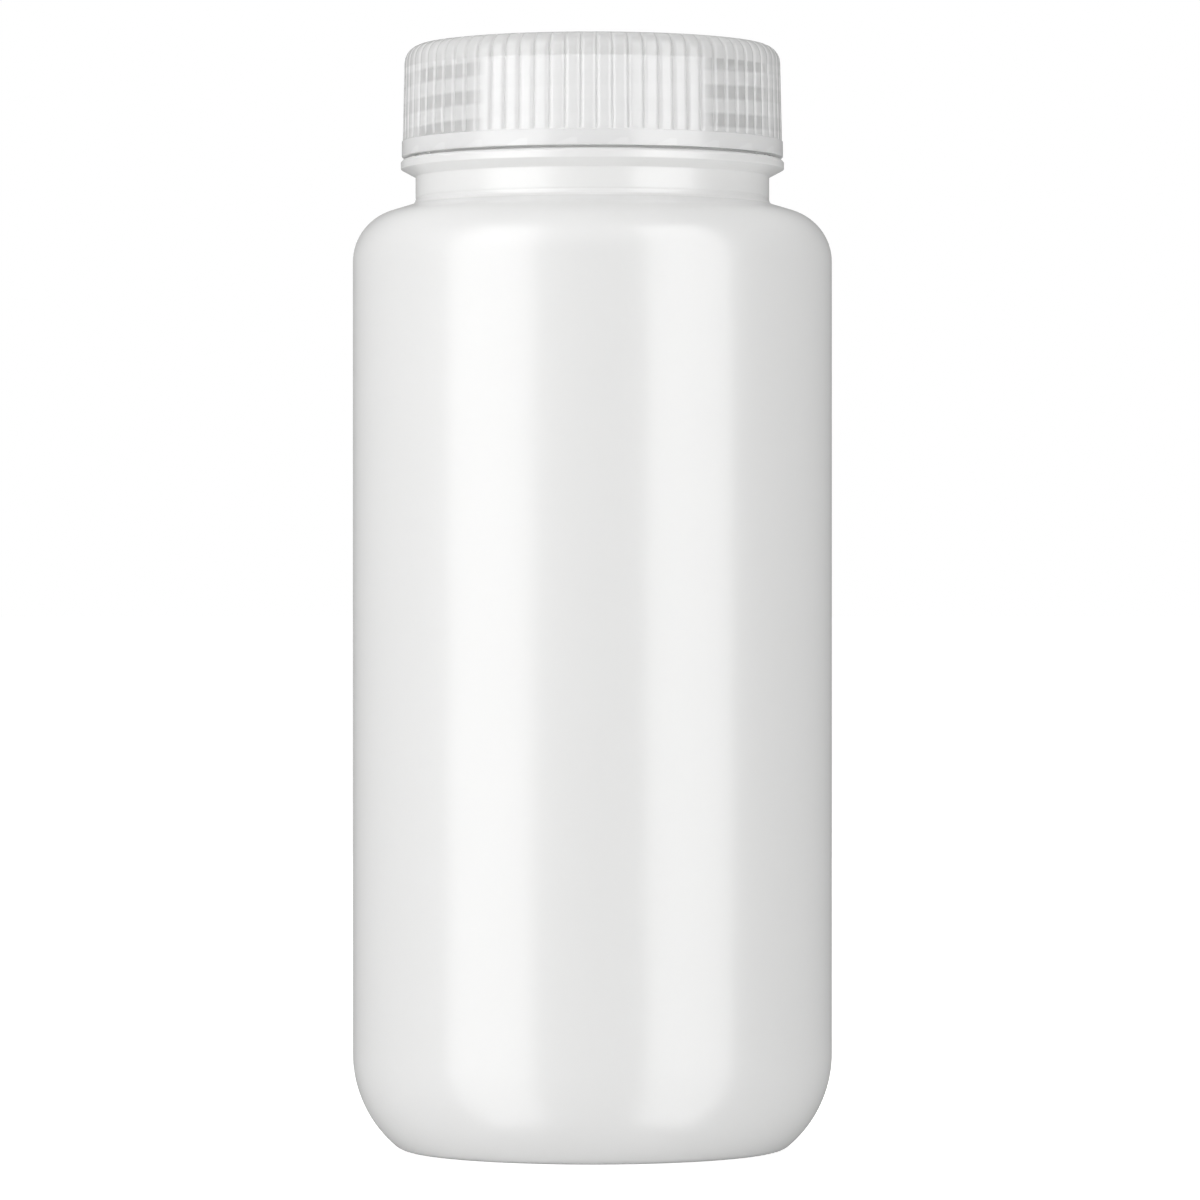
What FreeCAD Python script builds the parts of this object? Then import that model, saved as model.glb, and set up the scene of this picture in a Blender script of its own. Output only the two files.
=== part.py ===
"""Wide-mouth plastic bottle with a ribbed screw cap and the liner under it.

Lengths are in millimetres and +Z is up. The origin is the centre of the base,
on the surface that the bottle stands on.
"""

import FreeCAD, Part
import math
import os

from FreeCAD import Vector

# Bottle: body and shoulder
body_diameter = 73.0
body_wall = 1.5
shoulder_slope_deg = 17.0
shoulder_radius = 8.0

# Bottle: base
base_corner_radius = 18.3
base_corner_height = 14.6
heel_radius = 3.0
foot_ring_width = 1.6
base_push_up = 3.0

# Bottle: the flange's upper face, with the neck below it and the finish for the cap above it
flange_top_height = 150.6
neck_height = 6.7
finish_height = 14.0

# Bottle: thread across its crests, and what is drawn outward and inward from it
thread_crest_diameter = 52.3
thread_depth = 1.3
finish_wall = 2.55
rim_chamfer = 0.4
neck_outside_crest = 0.8
neck_wall = 2.2
neck_root_radius = 0.9
flange_overhang = 2.25
flange_edge_height = 1.0
flange_edge_chamfer = 0.4
flange_under_slope_deg = 28.0

# Cap
cap_clearance = 0.3
flange_gap = 0.4
cap_top_thickness = 2.2
cap_wall_at_ribs = 2.45
cap_side_draft_deg = 1.3
cap_top_radius = 2.7
cap_inner_corner_radius = 0.8
band_height = 2.4
band_step = 0.15
band_wall = 1.5
band_edge_chamfer = 0.2

# Grip ribs of the cap, parted by narrow grooves
rib_count = 76
first_groove_deg = 1.3
groove_depth = 0.42
groove_width = 0.62
groove_overrun = 0.4

# Small locking lugs inside the band
lug_count = 24
lug_width = 3.0
lug_height = 1.1
lug_low_height = 0.25
lug_depth = 0.8
lug_overlap = 0.2

# Liner, which clears the rounding in the cap's inner corner
liner_thickness = 1.2
liner_corner_clearance = 0.1

# Sizes worked out from the ones above
bottle_height = flange_top_height + finish_height
shoulder_top_height = flange_top_height - neck_height
body_radius = body_diameter / 2
thread_crest_radius = thread_crest_diameter / 2
finish_root_radius = thread_crest_radius - thread_depth
bore_radius = finish_root_radius - finish_wall
neck_radius = thread_crest_radius + neck_outside_crest
flange_radius = neck_radius + flange_overhang
cap_inner_radius = thread_crest_radius + cap_clearance
cap_bottom = flange_top_height + flange_gap
cap_panel_bottom = bottle_height + liner_thickness
cap_top = cap_panel_bottom + cap_top_thickness
band_top = cap_bottom + band_height
rib_bottom_radius = cap_inner_radius + cap_wall_at_ribs
band_radius = rib_bottom_radius + band_step
rib_top_radius = rib_bottom_radius - (cap_top - band_top) * math.tan(math.radians(cap_side_draft_deg))
liner_radius = cap_inner_radius - cap_inner_corner_radius - liner_corner_clearance

# The shoulder's rounding keeps within the step from the body to the neck.
shoulder_step = body_radius - neck_radius - neck_root_radius
shoulder_round = min(shoulder_radius, shoulder_step / (1 - math.sin(math.radians(shoulder_slope_deg))))

UP = Vector(0, 0, 1)
ORIGIN = Vector(0, 0, 0)


def at(radius, height):
    """A point of an outline: distance from the axis and height."""
    return Vector(radius, 0, height)


def on_circle(centre, radius, angle_deg):
    """The point at an angle on a circle that lies in the outline's plane."""
    angle = math.radians(angle_deg)
    return centre + at(radius * math.cos(angle), radius * math.sin(angle))


def arc(centre, radius, start_deg, end_deg):
    """An arc of the outline, from one angle to the other."""
    middle_deg = (start_deg + end_deg) / 2
    points = [on_circle(centre, radius, a) for a in (start_deg, middle_deg, end_deg)]
    return Part.Arc(*points).toShape()


def line(start, end):
    """A straight stretch of the outline."""
    return Part.LineSegment(start, end).toShape()


def rounded_path(corners):
    """Lines through the corners, given as (radius from the axis, height, rounding)."""
    edges = []
    pen = at(corners[0][0], corners[0][1])
    for before, corner, after in zip(corners, corners[1:], corners[2:]):
        tip = at(corner[0], corner[1])
        back = (at(before[0], before[1]) - tip).normalize()
        ahead = (at(after[0], after[1]) - tip).normalize()
        rounding = corner[2]
        if rounding > 0:
            half_turn = back.getAngle(ahead) / 2
            reach = rounding / math.tan(half_turn)
            start = tip + back * reach
            end = tip + ahead * reach
            centre = tip + (back + ahead).normalize() * (rounding / math.sin(half_turn))
            middle = centre + (tip - centre).normalize() * rounding
            edges.append(line(pen, start))
            edges.append(Part.Arc(start, middle, end).toShape())
            pen = end
        else:
            edges.append(line(pen, tip))
            pen = tip
    edges.append(line(pen, at(corners[-1][0], corners[-1][1])))
    return edges


def revolved(edges):
    """The solid that a closed outline sweeps round the axis."""
    outline = Part.Wire(Part.__sortEdges__(edges))
    return Part.Face(outline).revolve(ORIGIN, UP, 360)


def ring_of(shape, count, first_deg=0.0):
    """Copies of a shape, evenly spaced round the axis."""
    copies = []
    for index in range(count):
        copy = shape.copy()
        copy.rotate(ORIGIN, UP, first_deg + index * 360.0 / count)
        copies.append(copy)
    return copies


def body_skin(inset):
    """Base, wall and shoulder of the bottle, drawn the given distance inside its outside."""
    corner_centre = at(body_radius - base_corner_radius, base_corner_height)
    heel_rise = base_corner_height - heel_radius
    heel_reach = math.sqrt((base_corner_radius - heel_radius) ** 2 - heel_rise**2)
    corner_deg = -math.degrees(math.atan2(heel_rise, heel_reach))
    outer_heel = at(corner_centre.x + heel_reach, heel_radius)
    inner_heel = outer_heel - at(foot_ring_width, 0)

    # The push-up is a shallow dome that meets the inner heel in a smooth curve.
    drop = heel_radius - base_push_up
    dome_radius = (inner_heel.x**2 + drop**2 - heel_radius**2) / (2 * base_push_up)
    dome_centre = at(0, base_push_up - dome_radius)
    dome_deg = math.degrees(math.atan2(inner_heel.z - dome_centre.z, inner_heel.x))

    shoulder_centre = at(body_radius - shoulder_round, shoulder_centre_height())
    slope_start_deg = 90 - shoulder_slope_deg
    heel = heel_radius - inset
    corner = base_corner_radius - inset
    shoulder = shoulder_round - inset
    edges = [
        arc(dome_centre, dome_radius + inset, 90, dome_deg),
        arc(inner_heel, heel, dome_deg + 180, 270),
        line(on_circle(inner_heel, heel, 270), on_circle(outer_heel, heel, 270)),
        arc(outer_heel, heel, 270, 360 + corner_deg),
        arc(corner_centre, corner, corner_deg, 0),
        line(on_circle(corner_centre, corner, 0), on_circle(shoulder_centre, shoulder, 0)),
        arc(shoulder_centre, shoulder, 0, slope_start_deg),
    ]
    return edges, on_circle(shoulder_centre, shoulder, slope_start_deg)


def shoulder_centre_height():
    """Height of the shoulder arc's centre, so that the slope meets the neck where it should."""
    slope = math.radians(shoulder_slope_deg)
    run = body_radius - shoulder_round * (1 - math.sin(slope)) - neck_radius
    return shoulder_top_height - run * math.tan(slope) - shoulder_round * math.cos(slope)


def neck_root(slope_start, radius, rounding):
    """The slope from the shoulder to the neck wall, with the rounding between them."""
    slope = math.radians(shoulder_slope_deg)
    sideways = (radius + rounding - slope_start.x) * math.sin(slope)
    centre = at(radius + rounding, slope_start.z + (rounding - sideways) / math.cos(slope))
    edges = [
        line(slope_start, on_circle(centre, rounding, 270 - shoulder_slope_deg)),
        arc(centre, rounding, 270 - shoulder_slope_deg, 180),
    ]
    return edges, on_circle(centre, rounding, 180)


def make_bottle():
    """One blown piece: hollow body, neck, flange and open finish."""
    outside, outer_slope = body_skin(0)
    inside, inner_slope = body_skin(body_wall)
    inner_neck_radius = neck_radius - neck_wall
    outer_root, neck_start = neck_root(outer_slope, neck_radius, neck_root_radius)
    inner_root, neck_inside = neck_root(inner_slope, inner_neck_radius, neck_root_radius + body_wall)

    edge_top = flange_top_height - flange_edge_chamfer
    edge_bottom = edge_top - flange_edge_height
    under_rise = (flange_radius - neck_radius) * math.tan(math.radians(flange_under_slope_deg))
    under_start = edge_bottom - under_rise
    neck_and_finish = rounded_path(
        [
            (neck_radius, neck_start.z, 0),
            (neck_radius, under_start, 0),
            (flange_radius, edge_bottom, 0),
            (flange_radius, edge_top, 0),
            (flange_radius - flange_edge_chamfer, flange_top_height, 0),
            (finish_root_radius, flange_top_height, 0),
            (finish_root_radius, bottle_height - rim_chamfer, 0),
            (finish_root_radius - rim_chamfer, bottle_height, 0),
            (bore_radius + rim_chamfer, bottle_height, 0),
            (bore_radius, bottle_height - rim_chamfer, 0),
            (bore_radius, flange_top_height, 0),
            (inner_neck_radius, under_start, 0),
            (inner_neck_radius, neck_inside.z, 0),
        ]
    )
    floor = line(at(0, base_push_up), at(0, base_push_up + body_wall))
    edges = outside + outer_root + neck_and_finish + inner_root + inside + [floor]
    return revolved(edges)


def cap_blank():
    """The cap before its grooves and lugs are made."""
    band_bore = band_radius - band_wall
    inner = cap_inner_radius
    return revolved(
        rounded_path(
            [
                (0, cap_top, 0),
                (rib_top_radius, cap_top, cap_top_radius),
                (rib_bottom_radius, band_top, 0),
                (band_radius, band_top, 0),
                (band_radius, cap_bottom + band_edge_chamfer, 0),
                (band_radius - band_edge_chamfer, cap_bottom, 0),
                (band_bore, cap_bottom, 0),
                (band_bore, band_top, 0),
                (inner, band_top + band_bore - inner, 0),
                (inner, cap_panel_bottom, cap_inner_corner_radius),
                (0, cap_panel_bottom, 0),
                (0, cap_top, 0),
            ]
        )
    )


def rib_groove():
    """Cutter for one groove: a V that climbs the side and runs out over the top corner."""
    side_and_corner = rounded_path(
        [
            (rib_bottom_radius - groove_depth, band_top, 0),
            (rib_top_radius - groove_depth, cap_top, cap_top_radius),
            (0, cap_top, 0),
        ]
    )[:2]
    path = Part.Wire(side_and_corner)
    reach = groove_depth + groove_overrun
    half_width = groove_width / 2 * reach / groove_depth
    draft = math.radians(cap_side_draft_deg)
    outward = at(math.cos(draft), math.sin(draft))
    tip = at(rib_bottom_radius - groove_depth, band_top)
    sideways = Vector(0, half_width, 0)
    section = Part.makePolygon([tip, tip + outward * reach + sideways, tip + outward * reach - sideways, tip])
    return path.makePipeShell([section], True, False)


def locking_lug():
    """One lug at the front of the band: it rises to the right and ends in a steep face."""
    band_bore = band_radius - band_wall
    outer_y = -(band_bore + lug_overlap)
    low, high = cap_bottom + lug_low_height, cap_bottom + lug_height
    left, right = -lug_width / 2, lug_width / 2
    corners = [(left, cap_bottom), (right, cap_bottom), (right, high), (right - lug_width / 3, high), (left, low)]
    points = [Vector(x, outer_y, z) for x, z in corners]
    face = Part.Face(Part.makePolygon(points + points[:1]))
    return face.extrude(Vector(0, lug_depth + lug_overlap, 0))


def make_screw_cap():
    """One moulded piece: top, ribbed side, plain band and the lugs inside it."""
    cap = cap_blank().cut(ring_of(rib_groove(), rib_count, first_groove_deg))
    return cap.fuse(ring_of(locking_lug(), lug_count, 180.0 / lug_count)).removeSplitter()


def make_cap_liner():
    """A flat disc between the rim of the bottle and the top of the cap."""
    return Part.makeCylinder(liner_radius, liner_thickness, at(0, bottle_height), UP)


pieces = {
    "bottle": make_bottle(),
    "screw_cap": make_screw_cap(),
    "cap_liner": make_cap_liner(),
}

os.makedirs("parts", exist_ok=True)
for name, shape in pieces.items():
    shape.exportStep("parts/" + name + ".step")
    print(name, "valid" if shape.isValid() else "not valid", len(shape.Solids), round(shape.Volume, 1))
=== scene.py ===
"""Wide-mouth bottle with a ribbed screw cap: its surfaces, its materials and the studio."""

import math
from collections import namedtuple

import bpy
from bpy.props import FloatProperty, FloatVectorProperty, IntProperty, PointerProperty
from bpy.types import Operator, Panel, PropertyGroup
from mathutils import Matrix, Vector


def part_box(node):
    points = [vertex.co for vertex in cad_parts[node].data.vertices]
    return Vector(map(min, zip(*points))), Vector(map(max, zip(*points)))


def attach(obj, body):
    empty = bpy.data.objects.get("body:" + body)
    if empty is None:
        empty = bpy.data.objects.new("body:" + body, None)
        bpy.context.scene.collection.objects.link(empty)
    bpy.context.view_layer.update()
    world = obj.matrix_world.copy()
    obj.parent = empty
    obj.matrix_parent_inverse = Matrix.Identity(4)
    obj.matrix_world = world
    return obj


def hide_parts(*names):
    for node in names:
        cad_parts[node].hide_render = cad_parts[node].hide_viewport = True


bl_info = {
    "name": "Wide-mouth bottle",
    "version": (1, 0, 0),
    "blender": (4, 5, 0),
    "location": "3D View > Sidebar > Bottle",
    "description": "Makes a translucent wide-mouth bottle, its ribbed screw cap, the liner and a studio",
    "category": "Object",
}

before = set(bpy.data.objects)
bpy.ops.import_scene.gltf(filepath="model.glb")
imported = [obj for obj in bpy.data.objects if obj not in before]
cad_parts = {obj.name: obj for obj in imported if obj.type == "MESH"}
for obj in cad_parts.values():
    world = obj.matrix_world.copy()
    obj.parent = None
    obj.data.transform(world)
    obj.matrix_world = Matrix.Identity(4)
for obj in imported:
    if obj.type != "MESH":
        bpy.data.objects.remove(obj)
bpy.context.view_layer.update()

BOTTLE_LOW, BOTTLE_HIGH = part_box("bottle")
CAP_LOW, CAP_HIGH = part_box("screw_cap")
LINER_LOW, LINER_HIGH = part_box("cap_liner")
MM = 0.001
TURN = 2 * math.pi


def setting(kind, name, description, default, **limits):
    """A value that a user can change."""
    return kind(name=name, description=description, default=default, **limits)


def length(*words):
    """A length, in metres."""
    return setting(FloatProperty, *words, unit="LENGTH", precision=5)


def angle(name, description, degrees):
    """An angle, given in degrees."""
    return setting(FloatProperty, name, description, math.radians(degrees), unit="ROTATION")


def colour(*words):
    """A colour."""
    return setting(FloatVectorProperty, *words, size=3, subtype="COLOR")


def share(*words):
    """A number from nothing to all."""
    return setting(FloatProperty, *words, min=0, max=1, subtype="FACTOR")


def number(*words):
    """A plain number."""
    return setting(FloatProperty, *words, min=0)


def whole(*words):
    """A whole number."""
    return setting(IntProperty, *words, min=1)


class BottleSizes(PropertyGroup):
    """Sizes of the blown bottle."""

    diameter: length("Body diameter", "Across the plain body", BOTTLE_HIGH.x - BOTTLE_LOW.x)
    height: length("Rim height", "From the standing surface to the rim", BOTTLE_HIGH.z)
    wall: length("Body wall", "Thickness of the body", 1.5 * MM)
    shoulder_top: length("Shoulder top", "Height where the shoulder meets the neck", 143.9 * MM)
    shoulder_slope: angle("Shoulder slope", "Fall of the shoulder from the neck", 17)
    shoulder_radius: length("Shoulder radius", "Rounding from the shoulder to the wall", 8 * MM)
    corner_radius: length("Base corner radius", "Large rounding from the wall to the base", 18.3 * MM)
    corner_height: length("Base corner height", "Height where that rounding starts", 14.6 * MM)
    heel_radius: length("Heel radius", "Rounding each side of the foot ring", 3 * MM)
    foot_width: length("Foot ring width", "Width of the flat ring that it stands on", 1.6 * MM)
    push_up: length("Push-up", "Height of the middle of the base", 3 * MM)
    neck_diameter: length("Neck diameter", "Across the plain neck below the flange", 53.9 * MM)
    neck_wall: length("Neck wall", "Thickness of the plain neck", 2.2 * MM)
    neck_root: length("Neck root rounding", "Rounding where the neck meets the shoulder", 0.9 * MM)
    neck_line: length("Neck line", "Depth of the fine line round the foot of the neck", 0.09 * MM)
    neck_line_width: length("Neck line width", "Width of that line", 0.24 * MM)
    flange_diameter: length("Flange diameter", "Across the flange under the cap", 58.4 * MM)
    flange_top: length("Flange top", "Height of the flange's upper face", 150.6 * MM)
    flange_edge: length("Flange edge", "Height of the flange's upright edge", 1.0 * MM)
    flange_chamfer: length("Flange chamfer", "Chamfer above the flange's edge", 0.4 * MM)
    flange_slope: angle("Flange underside slope", "Slope of the flange's underside", 28)
    finish_diameter: length("Finish diameter", "Across the root of the thread", 49.7 * MM)
    bore: length("Bore", "Inside diameter of the mouth", 44.6 * MM)
    segments: whole("Segments", "Mesh steps round the bottle", 288)


class ThreadSizes(PropertyGroup):
    """The single-start, right-handed thread of the bottle and the cap."""

    pitch: length("Pitch", "Rise in one turn", 4.233 * MM)
    crest_diameter: length("Crest diameter", "Across the bottle's thread", 52.3 * MM)
    clearance: length("Clearance", "From the bottle's thread to the cap's wall", 0.3 * MM)
    turns: number("Turns", "Turns of the bottle's thread", 2.35)
    start_height: length("Start height", "Height of the ridge at its lower end", 153.55 * MM)
    start_angle: angle("Start angle", "Where the ridge starts, anticlockwise from +X", 200)
    root_width: length("Root width", "Width of the ridge where it leaves the neck", 2.1 * MM)
    crest_width: length("Crest width", "Width of the ridge at its top", 0.7 * MM)
    fade: angle("Run-out", "Turn over which the ridge rises from nothing", 25)
    cap_turns: number("Cap turns", "Turns of the ridge inside the cap", 1.75)
    cap_depth: length("Cap ridge", "Height of the ridge inside the cap", 1.1 * MM)
    cap_root_width: length("Cap ridge width", "Width of the ridge inside the cap", 1.5 * MM)
    cap_crest_width: length("Cap crest width", "Width of that ridge at its top", 0.5 * MM)


class CapSizes(PropertyGroup):
    """Sizes of the moulded cap."""

    top: length("Top", "Height of the cap's top", CAP_HIGH.z)
    bottom: length("Bottom", "Height of the cap's lower edge", CAP_LOW.z)
    band_diameter: length("Band diameter", "Across the plain band", CAP_HIGH.x - CAP_LOW.x)
    band_height: length("Band height", "Height of the plain band", 2.4 * MM)
    band_step: length("Band step", "How far the band stands out from the ribs", 0.15 * MM)
    band_wall: length("Band wall", "Thickness of the band", 1.5 * MM)
    draft: angle("Draft", "Lean of the ribbed side", 1.3)
    top_radius: length("Top rounding", "Rounding from the side to the top", 2.7 * MM)
    top_thickness: length("Top thickness", "Thickness of the top", CAP_HIGH.z - LINER_HIGH.z)
    ribs: whole("Ribs", "Grip ribs round the cap", 76)
    first_groove: angle("First groove", "Turn of the grooves, anticlockwise from +X", 1.3)
    groove_depth: length("Groove depth", "Depth of the grooves between ribs", 0.42 * MM)
    groove_width: length("Groove width", "Width of the grooves between ribs", 0.62 * MM)
    groove_gather: share("Gather", "How closely the mesh gathers at the grooves", 0.7)
    steps_per_rib: whole("Steps per rib", "Mesh steps across a rib", 8)
    lugs: whole("Lugs", "Locking lugs inside the band", 24)
    lug_width: length("Lug width", "Width of a lug", 3.0 * MM)
    lug_height: length("Lug height", "Height of a lug's high end", 1.1 * MM)
    lug_low: length("Lug low end", "Height of a lug's low end", 0.25 * MM)
    lug_depth: length("Lug depth", "How far a lug stands in from the band", 0.8 * MM)


class LinerSizes(PropertyGroup):
    """Sizes of the liner under the cap's top."""

    radius: length("Radius", "From the axis to the cut edge", LINER_HIGH.x)
    bottom: length("Bottom", "Height of the lower face", LINER_LOW.z)
    top: length("Top", "Height of the upper face", LINER_HIGH.z)
    edge: length("Edge rounding", "Rounding of the cut edges", 0.3 * MM)
    segments: whole("Segments", "Mesh steps round the liner", 128)


class Finishes(PropertyGroup):
    """Colours and gloss of the plastics."""

    bottle: colour("Bottle", "Milky plastic of the bottle", (0.865, 0.865, 0.86))
    cap: colour("Cap", "Milk in the cap's translucent plastic", (1.0, 1.0, 0.997))
    # Painted shade: the milk at the cap's top is darker than the cap's own white. It stands in for the
    # shade where the liner under the top blocks light coming through.
    cap_top_painted_shade: colour("Cap top", "Milk at the cap's top, greyed by the liner", (0.87, 0.87, 0.867))
    liner: colour("Liner", "Foamed plastic of the liner", (0.88, 0.88, 0.87))
    bottle_roughness: share("Bottle roughness", "Spread of the bottle's highlights", 0.23)
    bottle_shine: share("Bottle shine", "Specular level of the bottle", 0.75)
    bottle_index: number("Bottle index", "Refractive index of the bottle's plastic", 1.5)
    bottle_depth: share("Bottle milkiness", "Light that scatters below the bottle's surface", 0.3)
    cap_depth: share("Cap milkiness", "Light that scatters below the cap's surface", 0.7)
    depth_reach: length("Milkiness reach", "How far that light travels in the plastics", 1.5 * MM)
    cap_roughness: share("Cap roughness", "Spread of the cap's highlights", 0.2)
    cap_shine: share("Cap shine", "Specular level of the cap", 0.9)
    cap_index: number("Cap index", "Refractive index of the cap's plastic", 1.49)
    cap_haze: share("Cap haze", "Blur of what is seen through the cap", 0.16)
    cap_glow: share("Cap glow", "Part of the milk that lets light through to its other side", 0.1)
    cap_passing: share("Cap passing", "Part of the clear plastic that light passes straight", 0.7)
    cap_thick: share("Clear over the ridge", "Clear part where the ridge makes the wall thick", 0.06)
    cap_thick_side: share("Ridge at a glance", "Clear part over the ridge at a glancing angle", 0.24)
    cap_top: share("Clear at the top", "Clear part over the top and its corner", 0.2)
    cap_band: share("Clear at the band", "Clear part of the plain band", 0.08)
    cap_lug: share("Clear at a lug", "Clear part of the band where a lug thickens it", 0.04)
    cap_front: share("Clear from the front", "Clear part of the thin wall seen square on", 0.05)
    cap_side: share("Clear at a glance", "Clear part of the thin wall at a glancing angle", 0.52)
    cap_glance: share("Glance begins", "Facing value at which the thin wall looks clearer", 0.16)
    cap_edge: share("Edge begins", "Facing value at which the wall looks milkier again", 0.52)


class StudioLook(PropertyGroup):
    """Lamps, floor and camera."""

    distance: length("Camera distance", "From the lens to the bottle's axis", 0.981)
    eye: length("Eye height", "Height of the lens above the floor", 83.6 * MM)
    shift: length("Sideways offset", "Offset of the lens along +X", 1.16 * MM)
    view_width: length("View width", "Width of the picture at the bottle's axis", 182.96 * MM)
    lamp_distance: length("Lamp distance", "From the softboxes to the bottle's axis", 1.1)
    left: number("Left lamp", "Brightness of the left softbox", 2.1)
    left_azimuth: angle("Left direction", "Middle of the left softbox, left of the camera", 56)
    left_wide: angle("Left width", "Angle that the left softbox spans", 64)
    left_tall: length("Left height", "Reach of the left softbox above and below the floor", 0.9)
    right: number("Right lamp", "Brightness of the right softbox", 2.45)
    right_azimuth: angle("Right direction", "Middle of the right softbox, right of the camera", 50)
    right_wide: angle("Right width", "Angle that the right softbox spans", 54)
    right_tall: length("Right height", "Reach of the right softbox above and below the floor", 0.42)
    mirrored_tall: length("Mirrored height", "Reach of the mirrored softboxes up and down", 1.6)
    mirrored_inset: angle("Mirrored inset", "How far a mirrored softbox keeps from the camera's side", 3)
    left_outset: angle("Left outset", "How far the mirrored left softbox stops short outside", 17)
    right_outset: angle("Right outset", "How far the mirrored right softbox stops short outside", 8)
    mirrored_share: share("Mirrored share", "Brightness against the softbox that lights", 0.92)
    fill: number("Fill", "Level of the even light from all round", 0.4)
    back: number("Back lamp", "Brightness of the lamp behind the bottle", 0.45)
    back_raise: angle("Back lamp height", "Angle of that lamp above the floor", 10)
    overhead: number("Top lamp", "Brightness of the lamp above the bottle", 0.34)
    weak_wide: angle("Weak width", "Angle that the lamps behind and above span", 60)
    weak_tall: length("Weak height", "Reach of those lamps up and down", 0.6)
    mirrored: share("Mirrored level", "Level round the horizon in reflections", 0.15)
    floor: colour("Floor", "Colour of the floor", (0.8, 0.8, 0.8))
    floor_glow: share("Floor glow", "How white the camera sees the floor apart from its shadow", 0.7)
    floor_bounce: share("Floor bounce", "Light that the floor adds from below", 0.12)


class Net:
    """Adds nodes to a tree, with their settings first and then what their sockets hold."""

    def __init__(self, tree):
        self.tree = tree

    def feed(self, socket, value):
        """Puts a number on a socket, or links another socket to it."""
        if isinstance(value, Value):
            value = value.socket
        if isinstance(value, bpy.types.NodeSocket):
            self.tree.links.new(value, socket)
        else:
            socket.default_value = value

    def add(self, kind, settings=None, values=None):
        """One node of any kind."""
        node = self.tree.nodes.new(kind)
        for name, setting in (settings or {}).items():
            setattr(node, name, setting)
        for key, value in (values or {}).items():
            self.feed(node.inputs[key], value)
        return node

    def get(self, kind, settings=None, values=None, output=0):
        """One output of a new node, ready for an expression."""
        return Value(self, self.add(kind, settings, values).outputs[output])

    def math(self, operation, *values):
        """The result of a Math node."""
        return self.get("ShaderNodeMath", {"operation": operation}, dict(enumerate(values)))


class Value:
    """A socket that takes part in Python expressions, each of which adds its Math node."""

    def __init__(self, net, socket):
        self.net = net
        self.socket = socket

    def __add__(self, other):
        return self.net.math("ADD", self, other)

    def __radd__(self, other):
        return self.net.math("ADD", other, self)

    def __sub__(self, other):
        return self.net.math("SUBTRACT", self, other)

    def __rsub__(self, other):
        return self.net.math("SUBTRACT", other, self)

    def __mul__(self, other):
        return self.net.math("MULTIPLY", self, other)

    def __rmul__(self, other):
        return self.net.math("MULTIPLY", other, self)

    def __truediv__(self, other):
        return self.net.math("DIVIDE", self, other)

    def __abs__(self):
        return self.net.math("ABSOLUTE", self)

    def clipped(self):
        """Kept between 0 and 1."""
        return self.net.get("ShaderNodeClamp", {}, {"Value": self})

    def smooth(self):
        """Eased from 0 to 1."""
        t = self.clipped()
        return t * t * (3 - 2 * t)


# A corner has its rounding, and the zone and the row spacing of the run that leads up to it.
# A zone is a run that carries the thread, the grooves or the lugs.
Corner = namedtuple("Corner", "r z rounding zone spacing", defaults=(0.0, "plain", 0.0))
# A point has the strength of its zone, and one where it lies on the outside of its shell.
Point = namedtuple("Point", "r z zone strength outside", defaults=("plain", 1.0, 1.0))

ROUNDING_STEP = math.radians(15)
EDGE_ROW = 0.25 * MM
DISC_ROWS = 4 * MM
WALL_ROWS = 6 * MM
SLOPE_ROWS = 1 * MM
WELD = 0.002 * MM


def arc_points(centre, radius, start, end, step=ROUNDING_STEP):
    """Points along an arc of a turned outline, without its first point."""
    count = max(2, round(abs(end - start) / step))
    turns = [start + (end - start) * i / count for i in range(1, count + 1)]
    return [Vector((centre.x + radius * math.cos(t), centre.y + radius * math.sin(t))) for t in turns]


def along(start, end, spacing):
    """Points from start to end, with one close to each end so that shading stays flat between."""
    run = end - start
    reach = run.length
    if reach < 3 * EDGE_ROW:
        return [end]
    first = EDGE_ROW / reach
    marks = {first, 1 - first, 1.0}
    if spacing:
        count = math.ceil(reach / spacing)
        marks.update(i / count for i in range(1, count) if first < i / count < 1 - first)
    return [start + run * mark for mark in sorted(marks)]


def outline(corners):
    """Points of a turned outline through its corners, each rounded by its own radius.

    Grooves run out over the rounding that ends them. Any other zone stops where its rounding starts.
    """
    pen = Vector((corners[0].r, corners[0].z))
    points = [Point(pen.x, pen.y, corners[0].zone)]
    for before, corner, after in zip(corners, corners[1:], corners[2:] + [None]):
        tip = Vector((corner.r, corner.z))
        target, bend = tip, []
        if corner.rounding and after:
            back = (Vector((before.r, before.z)) - tip).normalized()
            ahead = (Vector((after.r, after.z)) - tip).normalized()
            half = back.angle(ahead) / 2
            target = tip + back * (corner.rounding / math.tan(half))
            leave = tip + ahead * (corner.rounding / math.tan(half))
            centre = tip + (back + ahead).normalized() * (corner.rounding / math.sin(half))
            first = math.atan2(target.y - centre.y, target.x - centre.x)
            swing = math.remainder(math.atan2(leave.y - centre.y, leave.x - centre.x) - first, TURN)
            bend = arc_points(centre, corner.rounding, first, first + swing)
        points += [Point(p.x, p.y, corner.zone) for p in along(pen, target, corner.spacing)]
        grooved = corner.zone == "groove"
        for i, p in enumerate(bend, start=1):
            left = max(math.cos(math.pi / 2 * i / len(bend)), 0.0) if grooved else 1.0
            points.append(Point(p.x, p.y, "groove" if grooved else "plain", left))
        pen = bend[-1] if bend else target
    return points


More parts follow.
